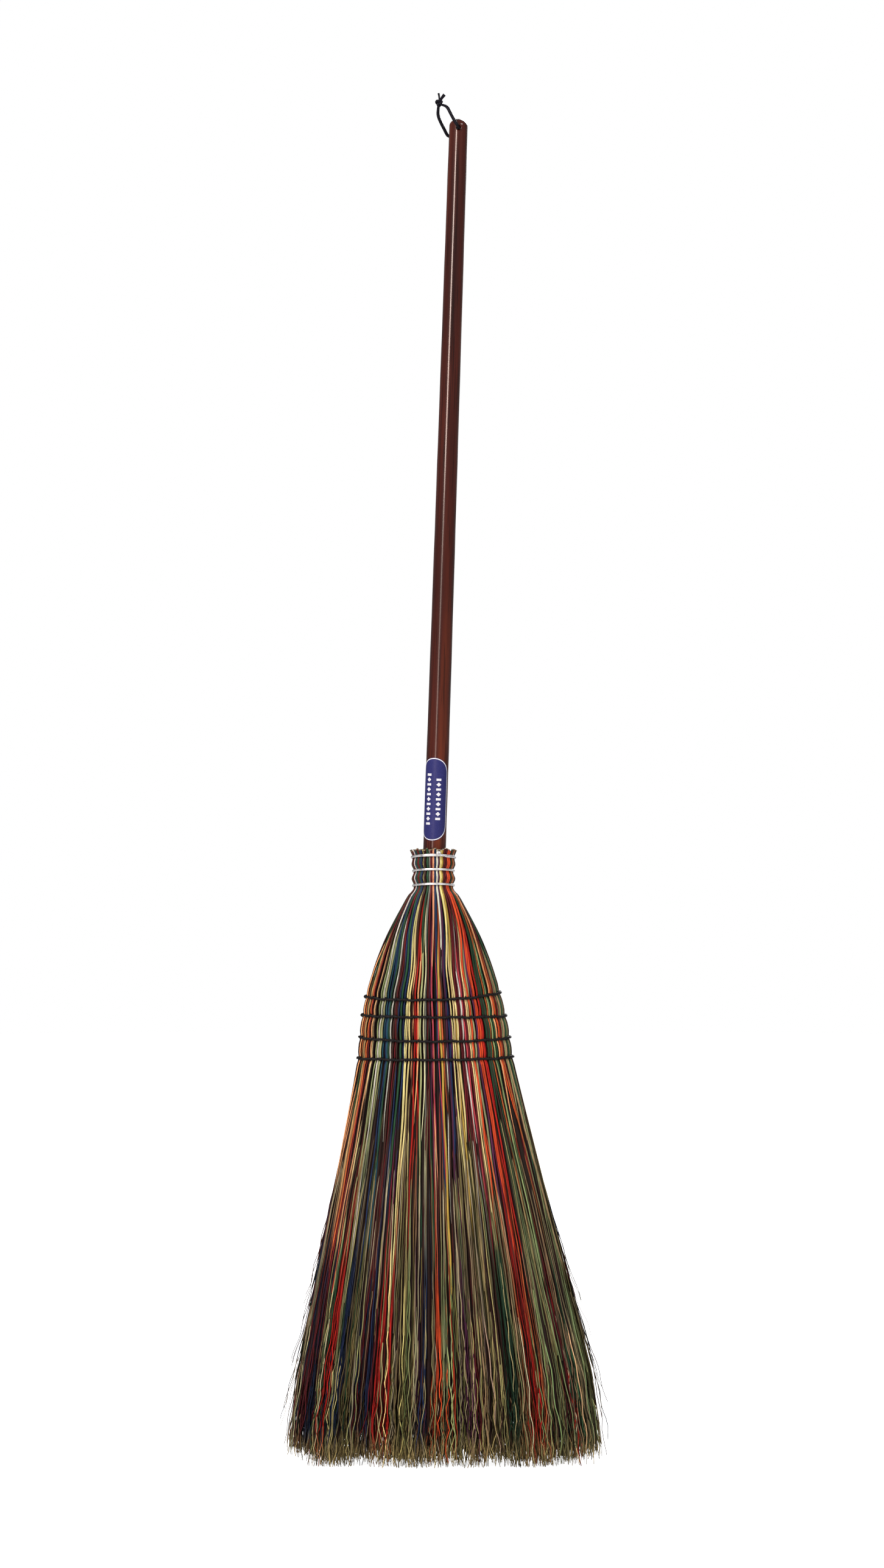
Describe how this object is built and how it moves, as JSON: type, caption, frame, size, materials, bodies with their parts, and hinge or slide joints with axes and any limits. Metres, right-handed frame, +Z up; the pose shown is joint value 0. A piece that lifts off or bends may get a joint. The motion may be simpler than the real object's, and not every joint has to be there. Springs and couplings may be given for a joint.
{
  "type": "curling broom",
  "caption": "Flat hand-tied corn broom with a tapered wooden handle, a wire-bound collar, sewn dyed broomcorn and a leather hanging lace.",
  "frame": {"origin": "middle of the trimmed foot of the bristles, on the surface the broom stands on", "axes": "+Z up the broom from the foot to the handle's top; +X to the right across the flat head; -Y out of the front, the side that carries the label"},
  "size_m": [0.344, 0.07, 1.4598],
  "materials": {
    "varnished_wood": "gloss varnish over a dark red-brown stain",
    "label_paper": "satin printed label",
    "steel_wire": "bright tinned wire",
    "dyed_broomcorn": "smooth plant stalks in mixed dyes",
    "inner_broomcorn": "matt plant stalks",
    "waxed_twine": "waxed twisted twine",
    "leather_lace": "matt dyed leather"
  },
  "bodies": {
    "broom": {"handle": "varnished_wood", "label": "label_paper", "wire_nail": "steel_wire", "wire_band_top": "steel_wire", "wire_band_middle": "steel_wire", "wire_band_bottom": "steel_wire", "inner_winding": "steel_wire", "hurl_front_1": "dyed_broomcorn", "hurl_front_2": "dyed_broomcorn", "hurl_front_3": "dyed_broomcorn", "hurl_front_4": "dyed_broomcorn", "hurl_front_5": "dyed_broomcorn", "hurl_front_6": "dyed_broomcorn", "hurl_back_1": "dyed_broomcorn", "hurl_back_2": "dyed_broomcorn", "hurl_back_3": "dyed_broomcorn", "hurl_back_4": "dyed_broomcorn", "hurl_back_5": "dyed_broomcorn", "hurl_back_6": "dyed_broomcorn", "hurl_edge_left": "dyed_broomcorn", "hurl_edge_right": "dyed_broomcorn", "insides_front": "inner_broomcorn", "insides_back": "inner_broomcorn", "shoulder_left": "inner_broomcorn", "shoulder_right": "inner_broomcorn", "stitch_wrap_1": "waxed_twine", "stitch_wrap_2": "waxed_twine", "stitch_wrap_3": "waxed_twine", "stitch_wrap_4": "waxed_twine"},
    "loop": {"hanging_lace": "leather_lace", "lace_knot": "leather_lace"}
  },
  "joints": [
    {"name": "loop_swing", "type": "hinge", "parent": "broom", "child": "loop", "pos_m": [0.01429, 0, 1.42151], "axis": [0, 1, 0], "range_deg": [-56, 124]}
  ]
}
